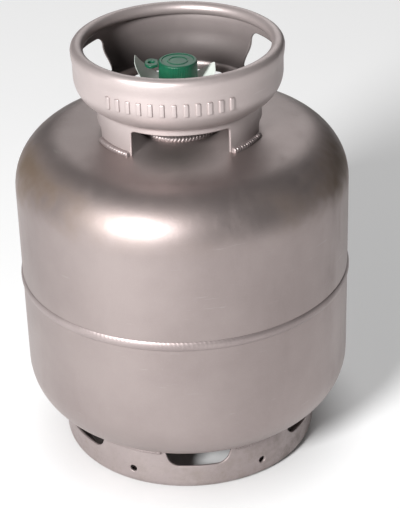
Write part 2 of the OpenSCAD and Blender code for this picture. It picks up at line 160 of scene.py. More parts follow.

# %% [markdown]
# ## Materials
# Every finish on a used cylinder is a base colour with something done to it: flake in
# the paint, grime near the ground, scratches where hands go, and painted shade in the
# collar's bowl. Each material below is built from the same few patterns on Object
# coordinates, so a pattern stays put on its piece from every side. Sizes are in marks per metre.

# %% Patterns that the finishes share
class Finish:
    """A material being built: a Principled shader and a few patterns to feed it."""

    def __init__(self, name, constants):
        self.material = bpy.data.materials.new(name + "_finish")
        self.material.use_nodes = True
        self.tree = self.material.node_tree
        self.tree.nodes.clear()
        self.shader = put(self.tree, "ShaderNodeBsdfPrincipled", {}, constants)
        put(self.tree, "ShaderNodeOutputMaterial", {}, {"Surface": self.shader})
        self.place = put(self.tree, "ShaderNodeTexCoord")["Object"]
        split = put(self.tree, "ShaderNodeSeparateXYZ", {}, {0: self.place})
        self.x, self.y, self.z = split["X"], split["Y"], split["Z"]
        self.radius = (self.x * self.x + self.y * self.y) ** 0.5

    def noise(self, scale, detail=3.0, rough=0.55, stretch=None, w=0.0):
        place = self.place
        if stretch:
            place = put(self.tree, "ShaderNodeMapping", {},
                        {"Vector": place, "Scale": stretch})
        return put(self.tree, "ShaderNodeTexNoise", {"noise_dimensions": "4D"},
                   {"Vector": place, "W": w, "Scale": scale, "Detail": detail,
                    "Roughness": rough})

    def mix(self, share, first, second):
        return put(self.tree, "ShaderNodeMix", {"data_type": "RGBA"},
                   {0: share, 6: first, 7: second}, 2)

    def bump(self, *layers):
        """Bump nodes one after another: (height, distance in metres) pairs."""
        normal = None
        for height, distance in layers:
            sockets = {"Height": height, "Distance": distance, "Strength": 1.0}
            if normal is not None:
                sockets["Normal"] = normal
            normal = put(self.tree, "ShaderNodeBump", {}, sockets)
        self.feed("Normal", normal)

    def feed(self, socket, wire):
        self.tree.links.new(wire.socket, self.shader.node.inputs[socket])


print("patterns ready")

# %% [markdown]
# ## Aluminium paint
# The steel is sprayed with a paint full of fine aluminium flake. It looks like a satin
# metal, slightly warm, with an orange-peel surface. With use it picks up brown stains on
# the shoulders where wet cylinders rub together, long thin scuffs, and dirt near the
# ground. The inner face of the collar's bowl is painted near-black, darker lower down, as
# painted shade. A flat picture of paint would stretch and show seams on round sheet.
# Noise in three dimensions has none, so one function makes all the paints.

# %% Painted steel
def painted_steel(name, shade, dark, rough, metal, stains, grain, chips=0.0):
    """Aluminium paint with flake, stains, grime, rust, scuffs and painted shade in the collar bowl."""
    finish = Finish(name, {"Specular IOR Level": 0.5})
    flake = finish.noise(2600, 1.0, 0.5)
    peel = finish.noise(420, 2.0, 0.5, w=2.0)
    cloud = finish.noise(7, 4.0, 0.6, w=5.0)
    wipe = finish.noise(26, 5.0, 0.7, stretch=(1.0, 1.0, 0.22), w=9.0)
    colour = finish.mix(cloud.between(0.3, 0.7), shade, dark)
    colour = finish.mix(flake.between(0.55, 0.8) * 0.16, colour, (0.86, 0.83, 0.81, 1))
    shoulder = finish.z.between(z_high - 0.012, z_high + 0.020) \
        * (1 - finish.z.between(z_high + 0.040, z_high + 0.056))
    sides = (finish.x.size()).between(0.05, 0.15)
    stain = shoulder * (0.2 + 0.8 * sides) * finish.noise(13, 3.0, 0.6, w=3.0).between(0.36, 0.72)
    drip = finish.noise(34, 4.0, 0.65, stretch=(1.0, 1.0, 0.12), w=14.0).between(0.6, 0.78) \
        * (1 - finish.z.between(z_seam - 0.02, z_high + 0.04)) * 0.35
    colour = finish.mix(stain * stains, colour, (0.15, 0.105, 0.07, 1))
    colour = finish.mix(drip * stains, colour, (0.27, 0.21, 0.165, 1))
    grime = (1 - finish.z.between(0.004, 0.075)) * finish.noise(60, 4.0, 0.7, w=7.0).between(0.35, 0.75)
    colour = finish.mix(grime * 0.55, colour, (0.12, 0.095, 0.075, 1))
    rust = finish.noise(150, 6.0, 0.75, w=21.0).between(0.72 - 0.08 * chips, 0.78 - 0.06 * chips)
    rust = rust * ((1 - finish.z.between(0.0, 0.05)) * 0.9 + 0.35 * chips)
    colour = finish.mix(rust, colour, (0.17, 0.055, 0.022, 1))
    scuff = finish.noise(55, 3.0, 0.6, stretch=(0.35, 0.35, 5.0), w=30.0).between(0.66, 0.74)
    colour = finish.mix(scuff * 0.18, colour, (0.66, 0.64, 0.62, 1))
    # Painted shade: the inner face of the collar's bowl goes near-black, darker lower down, and also rougher
    # and less metallic.
    low = (finish.z - shoulder_z).least(0.0)
    from_bend = ((finish.radius - shoulder_c) ** 2 + low * low) ** 0.5
    inner_face = 1 - from_bend.between(shoulder_bend - 0.9 * MM, shoulder_bend + 0.7 * MM)
    inside = inner_face * finish.z.between(z_top, z_top + 0.03) \
        * (1 - finish.z.between(z_top + 0.078, z_top + 0.094))
    inside = inside * (0.92 - 0.45 * finish.z.between(z_top + 0.040, z_top + 0.085))
    colour = finish.mix(inside, colour, (0.045, 0.036, 0.034, 1))
    finish.feed("Base Color", colour)
    finish.feed("Roughness", rough + 0.2 * inside + 0.10 * (cloud - 0.5) + 0.16 * wipe.between(0.5, 0.8)
                + 0.25 * stain + 0.3 * rust + 0.3 * grime - 0.05 * scuff)
    finish.feed("Metallic", metal - 0.6 * rust - 0.45 * grime - 0.3 * stain - 0.3 * inside)
    finish.bump((peel, 0.00006), (flake, 0.00002), (wipe, grain), (rust, 0.00008))
    return finish.material


vessel_paint = painted_steel("vessel_paint", (0.365, 0.310, 0.300, 1), (0.305, 0.256, 0.248, 1),
                             0.44, 0.88, 0.9, 0.0002)
collar_paint = painted_steel("collar_paint", (0.48, 0.415, 0.405, 1), (0.40, 0.342, 0.334, 1),
                             0.46, 0.6, 0.6, 0.0003, 0.3)
foot_paint = painted_steel("foot_paint", (0.37, 0.318, 0.312, 1), (0.30, 0.252, 0.247, 1),
                           0.47, 0.7, 0.6, 0.0002, 0.5)
weld_paint = painted_steel("weld_paint", (0.36, 0.305, 0.298, 1), (0.27, 0.225, 0.22, 1),
                           0.46, 0.7, 0.6, 0.0003, 0.6)
print("paints:", [m.name for m in (vessel_paint, collar_paint, foot_paint, weld_paint)])

# %% [markdown]
# ## Metals of the valve
# The valve is machined brass, so it has fine rings around its axis and a duller, browner
# tone in scattered patches where it has tarnished. The same function with other numbers
# makes the grey fusible metal and the spring's drawn steel.

# %% Brass, fusible metal and spring steel
def machined_metal(name, shade, tarnish, rough, ring_pitch):
    finish = Finish(name, {"Metallic": 1.0})
    spots = finish.noise(90, 5.0, 0.65, w=1.0)
    fine = finish.noise(900, 2.0, 0.5, w=4.0)
    rings = ((finish.radius + finish.z) * (2 * math.pi / ring_pitch)).sin()
    finish.feed("Base Color", finish.mix(spots.between(0.38, 0.72), shade, tarnish))
    finish.feed("Roughness", rough + 0.22 * spots.between(0.4, 0.8) + 0.05 * fine)
    finish.bump((rings, 0.000012), (fine, 0.00002))
    return finish.material


brass = machined_metal("brass", (0.72, 0.50, 0.21, 1), (0.38, 0.24, 0.10, 1), 0.24, 0.5 * MM)
fusible_metal = machined_metal("fusible_metal", (0.42, 0.42, 0.43, 1), (0.24, 0.24, 0.25, 1),
                               0.42, 0.9 * MM)
spring_steel = machined_metal("spring_steel", (0.60, 0.60, 0.61, 1), (0.36, 0.35, 0.34, 1),
                              0.28, 0.3 * MM)
print("metals:", brass.name, fusible_metal.name, spring_steel.name)

# %% [markdown]
# ## Plastics and rubber
# The seal is moulded from dark green plastic that light enters a little way. The label
# is a milky film that lets a little light through. Moulded plastic is never one
# flat colour: it has faint flow clouds, fine grain, and dust in its scratches.

# %% Green plastic, milky film and rubber
def moulded(name, shade, second, rough, constants, dust):
    finish = Finish(name, constants)
    flow = finish.noise(38, 4.0, 0.6, w=2.0)
    grain = finish.noise(1500, 2.0, 0.5, w=6.0)
    rubbed = finish.noise(210, 5.0, 0.7, w=8.0).between(0.55, 0.8)
    colour = finish.mix(flow.between(0.3, 0.7), shade, second)
    finish.feed("Base Color", finish.mix(rubbed * dust, colour, (0.62, 0.62, 0.58, 1)))
    finish.feed("Roughness", rough + 0.12 * (flow - 0.5) + 0.25 * rubbed)
    finish.bump((flow, 0.0003), (grain, 0.00002))
    return finish.material


seal_plastic = moulded("seal_plastic", (0.010, 0.110, 0.055, 1), (0.006, 0.070, 0.038, 1), 0.34,
                       {"Subsurface Weight": 0.15, "Subsurface Scale": 0.002, "IOR": 1.5}, 0.05)
label_plastic = moulded("label_plastic", (0.88, 0.93, 0.87, 1), (0.80, 0.88, 0.81, 1), 0.36,
                        {"Transmission Weight": 0.12, "IOR": 1.46}, 0.1)
black_rubber = moulded("black_rubber", (0.022, 0.022, 0.023, 1), (0.035, 0.034, 0.033, 1), 0.55,
                       {"IOR": 1.5}, 0.08)
print("plastics:", seal_plastic.name, label_plastic.name, black_rubber.name)

# %% [markdown]
# ## From a tree to a finished mesh
# A Geometry Nodes tree is a recipe with named inputs. The helper below gives an object
# the recipe, sets its inputs, and keeps only the resulting mesh. A mesh that closes on
# itself must face outwards, and its signed volume tells whether it does. Sharp edges are
# marked where two faces meet at more than 32 degrees.

# %% Helpers for pieces
def finished(name, mesh, body, material, stands_for=(), sharp=32):
    """Checks a mesh, marks its sharp edges, and puts it on a body as a piece."""
    work = bmesh.new()
    work.from_mesh(mesh)
    bmesh.ops.remove_doubles(work, verts=work.verts, dist=1e-6)
    bmesh.ops.dissolve_degenerate(work, edges=work.edges, dist=1e-7)
    loose = [e for e in work.edges if not e.link_faces]
    bmesh.ops.delete(work, geom=loose, context="EDGES")
    opened = sum(len(e.link_faces) != 2 for e in work.edges)
    if work.calc_volume(signed=True) < 0:
        bmesh.ops.reverse_faces(work, faces=work.faces)
    volume = work.calc_volume(signed=True)
    work.to_mesh(mesh)
    work.free()
    mesh.shade_smooth()
    mesh.set_sharp_from_angle(angle=math.radians(sharp))
    mesh.materials.clear()
    mesh.materials.append(material)
    piece = bpy.data.objects.new(name, mesh)
    bpy.context.scene.collection.objects.link(piece)
    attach(piece, body)
    if stands_for:
        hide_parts(*stands_for)
    triangles = sum(len(p.vertices) - 2 for p in mesh.polygons)
    print(f"{name}: {triangles} triangles, {volume * 1e6:.1f} cm3, {opened} open edges")
    return piece


def recipe(name, inputs):
    """A new Geometry Nodes tree with these inputs; gives the tree and their wires."""
    tree = bpy.data.node_groups.new(name, "GeometryNodeTree")
    kinds = {"Geometry": "NodeSocketGeometry", "Material": "NodeSocketMaterial"}
    for key, value in inputs.items():
        kind = kinds.get(key, "NodeSocketInt" if isinstance(value, int) else "NodeSocketFloat")
        socket = tree.interface.new_socket(key, in_out="INPUT", socket_type=kind)
        if kind in ("NodeSocketInt", "NodeSocketFloat"):
            socket.default_value = value
    tree.interface.new_socket("Geometry", in_out="OUTPUT", socket_type="NodeSocketGeometry")
    entry = put(tree, "NodeGroupInput")
    return tree, {key: entry[key] for key in inputs}


def close_recipe(tree, geometry, material):
    """The recipe's last steps: real geometry, smooth faces, and its material."""
    real = put(tree, "GeometryNodeRealizeInstances", {}, {"Geometry": geometry})
    smooth = put(tree, "GeometryNodeSetShadeSmooth", {}, {"Geometry": real})
    done = put(tree, "GeometryNodeSetMaterial", {}, {"Geometry": smooth, "Material": material})
    put(tree, "NodeGroupOutput", {}, {"Geometry": done})


def swept_grid(tree, steps, rows):
    """A grid with a column for each step; gives it and each point's column and row."""
    grid = put(tree, "GeometryNodeMeshGrid", {},
               {"Vertices X": steps + 1, "Vertices Y": rows})["Mesh"]
    index = put(tree, "GeometryNodeInputIndex")
    column = ((index + 0.5) / rows).floor()
    return grid, column, index - column * rows


def read_outline(tree, outline, row):
    """Radius and height of the outline's point in this row."""
    point = put(tree, "GeometryNodeSampleIndex", {"data_type": "FLOAT_VECTOR"},
                {"Geometry": outline, "Value": put(tree, "GeometryNodeInputPosition"),
                 "Index": row + 0.5})
    split = put(tree, "ShaderNodeSeparateXYZ", {}, {0: point})
    return split["X"], split["Z"]


def around_axis(tree, radius, turn, height):
    """The place at this radius, turn and height."""
    return put(tree, "ShaderNodeCombineXYZ", {},
               {"X": radius * turn.cos(), "Y": radius * turn.sin(), "Z": height})


def close_sweep(tree, grid, place, material):
    """Moves the grid's points to their places and closes its seam and poles."""
    moved = put(tree, "GeometryNodeSetPosition", {}, {"Geometry": grid, "Position": place})
    joined = put(tree, "GeometryNodeMergeByDistance", {}, {"Geometry": moved, "Distance": 1e-6})
    close_recipe(tree, joined, material)


def line_mesh(outline):
    """A chain of edges through (radius, height) points, for a recipe to read."""
    mesh = bpy.data.meshes.new("raw")
    points = [(r, 0.0, z) for r, z in outline]
    mesh.from_pydata(points, [(i, i + 1) for i in range(len(points) - 1)], [])
    return mesh


def cook(tree, mesh, values):
    """Runs a recipe on a mesh, which is used up, and gives the mesh that comes out."""
    holder = bpy.data.objects.new("raw", mesh)
    bpy.context.scene.collection.objects.link(holder)
    modifier = holder.modifiers.new("recipe", "NODES")
    modifier.node_group = tree
    for item in tree.interface.items_tree:
        if item.in_out == "INPUT" and item.name in values:
            modifier[item.identifier] = values[item.name]
    evaluated = holder.evaluated_get(bpy.context.evaluated_depsgraph_get())
    result = bpy.data.meshes.new_from_object(evaluated)
    holder.modifiers.remove(modifier)
    bpy.data.objects.remove(holder)
    bpy.data.meshes.remove(mesh)
    return result


print("helpers ready")

# %% [markdown]
# ## Outlines
# Most pieces are round, so a half outline in radius and height is all that has to be
# drawn. `corners` rounds each corner of an outline with a small arc, as a tool's nose
# does. `arc` draws longer curves.

# %% Outline helpers
def arc(centre, radius, start, end, count):
    """Points along an arc; angles in degrees, 0 outwards and 90 upwards."""
    angles = np.radians(np.linspace(start, end, count))
    return [(centre[0] + radius * math.cos(a), centre[1] + radius * math.sin(a)) for a in angles]


def corners(points, radius, count=4):
    """The closed outline through the points, with each corner rounded."""
    rounded = []
    for i, here in enumerate(points):
        before, after = Vector(points[i - 1]), Vector(points[(i + 1) % len(points)])
        here = Vector(here)
        to_before, to_after = before - here, after - here
        turn = to_before.angle(to_after, 0.0)
        own = 0.0 if here.x < 1e-6 or abs(turn - math.pi) < 0.05 else radius
        cut = min(own / math.tan(turn / 2), 0.45 * to_before.length, 0.45 * to_after.length) \
            if own else 0.0
        if cut < 1e-6:
            rounded.append(tuple(here))
            continue
        first, last = here + to_before.normalized() * cut, here + to_after.normalized() * cut
        for k in range(count + 1):
            t = k / count
            rounded.append(tuple(first * (1 - t) ** 2 + here * 2 * t * (1 - t) + last * t ** 2))
    return rounded + rounded[:1]


def spaced(points, step):
    """The same line with points added, so that no stretch is longer than step."""
    line = [points[0]]
    for a, b in zip(points, points[1:]):
        parts = max(1, math.ceil(math.dist(a, b) / step))
        line += [tuple(np.add(a, np.subtract(b, a) * k / parts)) for k in range(1, parts + 1)]
    return line


print("outlines ready")

# %% [markdown]
# ## The turning recipe
# Blender's Spin tool or a Screw modifier could turn an outline about the axis. A
# Geometry Nodes recipe does the same and can do more on the way: it can cut flats for a
# spanner, add grip flutes, and let the sheet wander by a fraction of a millimetre, as
# real pressed steel does. The recipe lays out a grid, one column for each step round
# the axis and one row for each outline point, and sends each grid point to its place.

# %% Turning recipe
def turning_recipe():
    tree, given = recipe("turned_piece", {
        "Geometry": None, "Material": None, "Steps": 96, "Flat": 10.0, "Flutes": 0.0,
        "Flute Depth": 0.0, "Flute From": 10.0, "Wander": 0.0, "Wander Size": 12.0, "Seed": 1.0})
    count = put(tree, "GeometryNodeAttributeDomainSize", {"component": "MESH"},
                {"Geometry": given["Geometry"]})["Point Count"]
    grid, column, row = swept_grid(tree, given["Steps"], count)
    drawn_radius, height = read_outline(tree, given["Geometry"], row)
    turn = column * (2 * math.pi) / given["Steps"]
    sixth = math.pi / 3
    in_side = ((turn + sixth / 2) / sixth).fraction() * sixth - sixth / 2
    radius = drawn_radius.least(given["Flat"] / in_side.cos())
    on_grip = drawn_radius.between(given["Flute From"], given["Flute From"] + 0.0001)
    radius = radius + on_grip * given["Flute Depth"] * ((turn * given["Flutes"]).cos() - 1)
    wander = put(tree, "ShaderNodeTexNoise", {"noise_dimensions": "4D"},
                 {"Vector": around_axis(tree, radius, turn, height), "W": given["Seed"],
                  "Scale": given["Wander Size"], "Detail": 2.0})
    radius = radius * (1 + (wander - 0.5) * 2 * given["Wander"] / radius.most(0.03))
    close_sweep(tree, grid, around_axis(tree, radius, turn, height), given["Material"])
    return tree


turned_piece = turning_recipe()


def turned(name, outline, body, material, stands_for=(), sharp=32, **values):
    """Turns a closed (radius, height) outline into a piece."""
    named = {key.replace("_", " ").title(): value for key, value in values.items()}
    mesh = cook(turned_piece, line_mesh(outline), {"Material": material, **named})
    return finished(name, mesh, body, material, stands_for, sharp)


print("turning recipe:", len(turned_piece.nodes), "nodes")

# %% [markdown]
# ## The two pressed halves
# Each half is a disc of sheet pressed into a deep dish. The lower one has its edge
# pushed in by one sheet's thickness, so that it slides into the upper one and backs the
# weld. Both outlines run up the outside and down the inside, which gives the
# turned piece its real wall. A wander of a quarter of a millimetre keeps the
# reflections from looking machined.

# %% Vessel halves
def end_outline(inset, r_from, r_to, count=26):
    """A dished end's outline from one radius to another, above its tangent line."""
    angles = np.linspace(0, 90 - math.degrees(math.asin(knuckle_c / (crown_r - knuckle_r))), 16)
    knuckle = arc((knuckle_c, 0.0), knuckle_r - inset, 0, angles[-1], 16)
    joint = knuckle[-1][0]
    crown = [(r, head_depth - crown_r + math.sqrt((crown_r - inset) ** 2 - r * r))
             for r in np.linspace(joint, r_to, count)[1:]]
    return [p for p in knuckle if p[0] <= r_from + 1e-9] + crown


spigot_r = 37.1 * MM
upper_edge = z_seam + root_gap / 2
inner_r = vessel_r - sheet_t
outer = spaced([(vessel_r, upper_edge), (vessel_r, z_high)], 6 * MM) \
    + [(r, z_high + h) for r, h in end_outline(0, vessel_r, spigot_r)][1:]
inner = spaced([(inner_r, upper_edge), (inner_r, z_high)], 12 * MM) \
    + [(r, z_high + h) for r, h in end_outline(sheet_t, vessel_r, spigot_r)][1:]
upper_half = turned("upper_half", outer + inner[::-1] + outer[:1], "cylinder", vessel_paint,
                    ["upper_shell"], steps=288, wander=0.22 * MM, wander_size=11.0, seed=3.0)

lower_edge = z_seam - root_gap / 2
lip_r = inner_r - 0.1 * MM
outer = spaced([(vessel_r, lower_edge), (vessel_r, z_low)], 6 * MM) \
    + [(r, z_low - h) for r, h in end_outline(0, vessel_r, 0.0)][1:]
inner = [(inner_r, lower_edge - 3 * sheet_t)] \
    + spaced([(inner_r, lower_edge - 3.5 * sheet_t), (inner_r, z_low)], 12 * MM) \
    + [(r, z_low - h) for r, h in end_outline(sheet_t, vessel_r, 0.0)][1:]
lip = [(lip_r - sheet_t, lower_edge - sheet_t), (lip_r - sheet_t, upper_edge + 12 * MM),
       (lip_r, upper_edge + 12 * MM), (lip_r, lower_edge)]
lower_half = turned("lower_half", outer + inner[::-1] + lip + outer[:1], "cylinder", vessel_paint,
                    ["lower_shell"], steps=288, wander=0.22 * MM, wander_size=11.0, seed=8.0)

# %% [markdown]
# ## The weld recipe
# A weld bead is a row of overlapping half-frozen puddles. Each puddle leaves a curved
# ripple, so a bead is a small outline carried round the axis whose size pulses once for
# every ripple, later at its edges than in its middle. Sculpting the ripples by hand
# would take hours; the recipe makes every bead from its radius, pitch and depth. The
# ends of a short bead taper to nothing, where the arc was struck and stopped.

# %% Weld recipe
def weld_recipe():
    tree, given = recipe("weld_bead", {
        "Geometry": None, "Material": None, "Steps": 400, "Start": 0.0, "Sweep": 2 * math.pi,
        "Root R": 0.1, "Root Z": 0.1, "Pitch": 0.02, "Depth": 0.1, "Taper": 0.0, "Seed": 1.0})
    count = put(tree, "GeometryNodeAttributeDomainSize", {"component": "MESH"},
                {"Geometry": given["Geometry"]})["Point Count"]
    grid, column, row = swept_grid(tree, given["Steps"], count)
    drawn_radius, drawn_height = read_outline(tree, given["Geometry"], row)
    turn = given["Start"] + column * given["Sweep"] / given["Steps"]
    across = row / (count - 1) * 2 - 1
    pulse = (turn / given["Pitch"] + 0.37 + across * across * 0.9).fraction()
    reach = 0.33 / given["Pitch"]
    jitter = put(tree, "ShaderNodeTexNoise", {"noise_dimensions": "3D"},
                 {"Vector": around_axis(tree, reach, turn, given["Seed"]),
                  "Scale": 1.0, "Detail": 2.0})
    swell = 1 + given["Depth"] * (1 - pulse * pulse * 2) + (jitter - 0.5) * given["Depth"] * 2.4
    from_end = (turn - given["Start"]).least(given["Start"] + given["Sweep"] - turn)
    swell = swell * (1 - (1 - from_end.between(0.0, given["Taper"])) * (given["Taper"] / 1e-3).least(1.0))
    radius = given["Root R"] + (drawn_radius - given["Root R"]) * swell
    height = given["Root Z"] + (drawn_height - given["Root Z"]) * swell
    close_sweep(tree, grid, around_axis(tree, radius, turn, height), given["Material"])
    return tree


weld_bead = weld_recipe()


def bead(outline, root, ripple, **values):
    """One bead's mesh from its closed outline, its corner and its ripples' length."""
    puddles = max(1, round(2 * math.pi * root[0] / ripple))
    named = {key.replace("_", " ").title(): value for key, value in values.items()}
    return cook(weld_bead, line_mesh(outline), {
        "Material": weld_paint, "Root R": root[0], "Root Z": root[1],
        "Pitch": 2 * math.pi / puddles, **named})


def together(meshes):
    """Several meshes as one."""
    work = bmesh.new()
    for mesh in meshes:
        work.from_mesh(mesh)
        bpy.data.meshes.remove(mesh)
    joined = bpy.data.meshes.new("joined")
    work.to_mesh(joined)
    work.free()
    return joined


print("weld recipe:", len(weld_bead.nodes), "nodes")

# %% [markdown]
# ## The girth weld
# One long automatic weld joins the halves. Its cap stands 1.8 mm proud and its ripples
# are close and even, because a machine turned the cylinder under the torch.

# %% Girth weld
cap_w, cap_h = 11 * MM, 1.8 * MM
cap = [(vessel_r - 0.6 * MM, z_seam - cap_w / 2)] \
    + [(vessel_r - 0.2 * MM + (cap_h + 0.2 * MM) * math.cos(math.pi / 2 * t) ** 0.8, z_seam + cap_w / 2 * t)
       for t in np.linspace(-0.98, 0.98, 11)] \
    + [(vessel_r - 0.6 * MM, z_seam + cap_w / 2), (vessel_r - 0.6 * MM, z_seam - cap_w / 2)]
girth = bead(cap, (vessel_r - 0.6 * MM, z_seam), 4.6 * MM, steps=1500, depth=0.03, seed=2.0)
girth_bead = finished("girth_bead", girth, "cylinder", weld_paint, ["girth_weld"], 60)

# %% [markdown]
# ## Sheet with openings
# The collar and the foot ring are strips of sheet with openings punched in them and
# rolled into a ring. Boolean cutters leave knife edges and long thin faces. Here the
# sheet is a fine grid, and each opening is a signed distance: how far a point lies from
# the opening's edge. Grid points near an edge slide onto it, the faces inside go, and the
# sheet then gets its thickness, with the small rounded burr-free edge that a deburred
# punching has.

# %% Punched sheet
def punched_sheet(surface, u_values, v_values, wraps, solid, pitch, wall, edge_round):
    """A thick sheet on a surface(u, v), kept where solid(u, v, point) is positive."""
    columns, rows = len(u_values), len(v_values)
    u, v = (grid.copy() for grid in np.meshgrid(u_values, v_values, indexing="ij"))
    away = solid(u, v, surface(u, v))
    kept = away > 0.62 * pitch
    spans = columns if wraps else columns - 1
    i, j = (grid.ravel() for grid in np.meshgrid(np.arange(spans), np.arange(rows - 1), indexing="ij"))
    quads = np.stack([i * rows + j, (i + 1) % columns * rows + j,
                      (i + 1) % columns * rows + j + 1, i * rows + j + 1], 1)
    quads = quads[kept.ravel()[quads].any(1)]
    used = np.unique(quads)
    on_edge = used[~kept.ravel()[used]]
    eu, ev = u.ravel()[on_edge], v.ravel()[on_edge]
    row = on_edge % rows
    at_border = (row == 0) | (row == rows - 1)
    du, dv = (u_values[1] - u_values[0]) * 0.02, (v_values[1] - v_values[0]) * 0.02

    def slopes(a, b):
        along_u = (surface(a + du, b) - surface(a - du, b)) / (2 * du)
        along_v = (surface(a, b + dv) - surface(a, b - dv)) / (2 * dv)
        return along_u, along_v

    def gradient(a, b):
        along_u, along_v = slopes(a, b)
        lu, lv = (np.linalg.norm(s, axis=-1) for s in (along_u, along_v))
        gu = (solid(a + du, b, surface(a + du, b)) - solid(a - du, b, surface(a - du, b))) / (2 * du) / lu
        gv = (solid(a, b + dv, surface(a, b + dv)) - solid(a, b - dv, surface(a, b - dv))) / (2 * dv) / lv
        return gu, gv, lu, lv, along_u, along_v

    for _ in range(9):
        gu, gv, lu, lv, _, _ = gradient(eu, ev)
        gv = np.where(at_border, 0.0, gv)
        steep = np.maximum(gu ** 2 + gv ** 2, 0.05)
        off = np.clip(solid(eu, ev, surface(eu, ev)), -pitch, pitch)
        eu, ev = eu - off * gu / steep / lu * 0.9, ev - off * gv / steep / lv * 0.9
    flat_u, flat_v = u.ravel(), v.ravel()
    flat_u[on_edge], flat_v[on_edge] = eu, ev
    point = surface(flat_u, flat_v)
    along_u, along_v = slopes(flat_u, flat_v)
    normal = np.cross(along_u, along_v)
    normal /= np.linalg.norm(normal, axis=-1, keepdims=True)

    towards = np.zeros_like(point)
    gu, gv, _, _, su, sv = gradient(eu, ev)
    su, sv = (s / np.linalg.norm(s, axis=-1, keepdims=True) for s in (su, sv))
    towards[on_edge] = -(gu[:, None] * su + gv[:, None] * sv)
    unit_v = along_v / np.linalg.norm(along_v, axis=-1, keepdims=True)
    borders = used % rows
    towards[used[borders == 0]] -= unit_v[used[borders == 0]]
    towards[used[borders == rows - 1]] += unit_v[used[borders == rows - 1]]
    length = np.linalg.norm(towards, axis=-1, keepdims=True)
    towards = np.divide(towards, length, out=np.zeros_like(towards), where=length > 1e-9)

    edges = np.concatenate([quads[:, [0, 1]], quads[:, [1, 2]], quads[:, [2, 3]], quads[:, [3, 0]]])
    keys = np.sort(edges, 1)
    _, where, counts = np.unique(keys[:, 0] * point.shape[0] + keys[:, 1], return_index=True,
                                 return_counts=True)
    rim = edges[where[counts == 1]]
    rim_points = np.unique(rim)
    half, r = wall / 2, edge_round
    back = np.zeros((point.shape[0], 1))
    back[rim_points] = r
    layers = [point + normal * half - towards * back, point - normal * half - towards * back]
    bend = [(-r + r * math.sin(a), half - r + r * math.cos(a)) for a in np.radians([45, 90])]
    for out, up in bend + [(o, -h) for o, h in bend[::-1]]:
        layers.append(point + towards * out + normal * up)
    total = point.shape[0]
    faces = [quads, quads[:, ::-1] + total]
    order = [0, 2, 3, 4, 5, 1]
    for a, b in zip(order, order[1:]):
        faces.append(np.stack([rim[:, 1] + a * total, rim[:, 0] + a * total,
                               rim[:, 0] + b * total, rim[:, 1] + b * total], 1))
    faces = np.concatenate(faces)
    wanted, faces = np.unique(faces, return_inverse=True)
    mesh = bpy.data.meshes.new("sheet")
    mesh.from_pydata(np.concatenate(layers)[wanted].tolist(), [], faces.reshape(-1, 4).tolist())
    return mesh


def rolled(path):
    """A surface(turn, distance) that carries a (radius, height) path round the axis."""
    path = np.array(path)
    along = np.concatenate([[0], np.cumsum(np.linalg.norm(np.diff(path, axis=0), axis=1))])

    def surface(turn, distance):
        r = np.interp(distance, along, path[:, 0])
        z = np.interp(distance, along, path[:, 1])
        return np.stack([r * np.sin(turn), -r * np.cos(turn), z], -1)

    return surface, along[-1]


def across(point, angle):
    """Sideways and forward distance of points from an opening that faces an angle."""
    side = point[..., 0] * math.cos(angle) + point[..., 1] * math.sin(angle)
    ahead = point[..., 0] * math.sin(angle) - point[..., 1] * math.cos(angle)
    return side, ahead


def box_distance(x, z, half_w, half_h, r):
    """Signed distance to a rectangle with round corners about the origin."""
    qx, qz = np.abs(x) - half_w + r, np.abs(z) - half_h + r
    return np.hypot(np.maximum(qx, 0), np.maximum(qz, 0)) + np.minimum(np.maximum(qx, qz), 0) - r


print("punching ready")

# %% [markdown]
# ## The collar
# The collar guards the valve and is what people lift by. One strip makes all of it: four
# legs that stand on the dome, a tight bend, a round shoulder, the upright band, and a
# rim that is rolled inwards over a mandrel so that no cut edge meets a hand. A rolled
# rim can't be had by thickening a plain band, so its path really curls round.

# %% Collar
neck_r = 87.5 * MM - sheet_t / 2
rim_z = z_top + 89 * MM
rim_c, rim_tube = 105 * MM, 7 * MM - sheet_t / 2
neck_bend_c, neck_bend = 92.5 * MM, 6.5 * MM
turn = math.degrees(math.acos((neck_bend_c - shoulder_c) / (shoulder_bend + neck_bend)))
neck_bend_z = shoulder_z - (shoulder_bend + neck_bend) * math.sin(math.radians(turn))
leg_foot = z_high + end_height(neck_r) - 0.8 * MM
collar_path = [(neck_r, leg_foot)] + arc((neck_bend_c, neck_bend_z), neck_bend, 180, 180 - turn, 10) \
    + arc((shoulder_c, shoulder_z), shoulder_bend, -turn, 0, 24)[1:] \
    + [(band_r, shoulder_z + 10 * MM), (band_r, shoulder_z + 14 * MM),
       (band_r + 0.5 * MM, shoulder_z + 18 * MM), (band_r + 1.2 * MM, rim_z - 5 * MM)] \
    + arc((rim_c, rim_z), rim_tube, 0, 318, 30)
collar_surface, collar_length = rolled(spaced(collar_path, 1.5 * MM))
FRONT_GAP, SIDE_GAP = (50 * MM, 25 * MM), (28 * MM, 10 * MM)
HOLD = (34 * MM, 17.5 * MM, 54 * MM, 11 * MM)
HOLD_TURNS = (math.radians(114), math.radians(-114))


def collar_solid(turn, distance, point):
    """Distance from the collar's openings, positive in the steel."""
    nearest = np.full(turn.shape, 1.0)
    for angle, (half, rise) in ((0, FRONT_GAP), (math.pi, FRONT_GAP), (math.pi / 2, SIDE_GAP),
                                (-math.pi / 2, SIDE_GAP)):
        side, ahead = across(point, angle)
        gap = box_distance(side, point[..., 2] - z_top + 0.05, half, rise + 0.05, 4 * MM)
        nearest = np.where(ahead > 0, np.minimum(nearest, gap), nearest)
    for angle in HOLD_TURNS:
        side, ahead = across(point, angle)
        hold = box_distance(side, point[..., 2] - z_top - HOLD[2], HOLD[0], HOLD[1], HOLD[3])
        nearest = np.where(ahead > 0, np.minimum(nearest, hold), nearest)
    return nearest


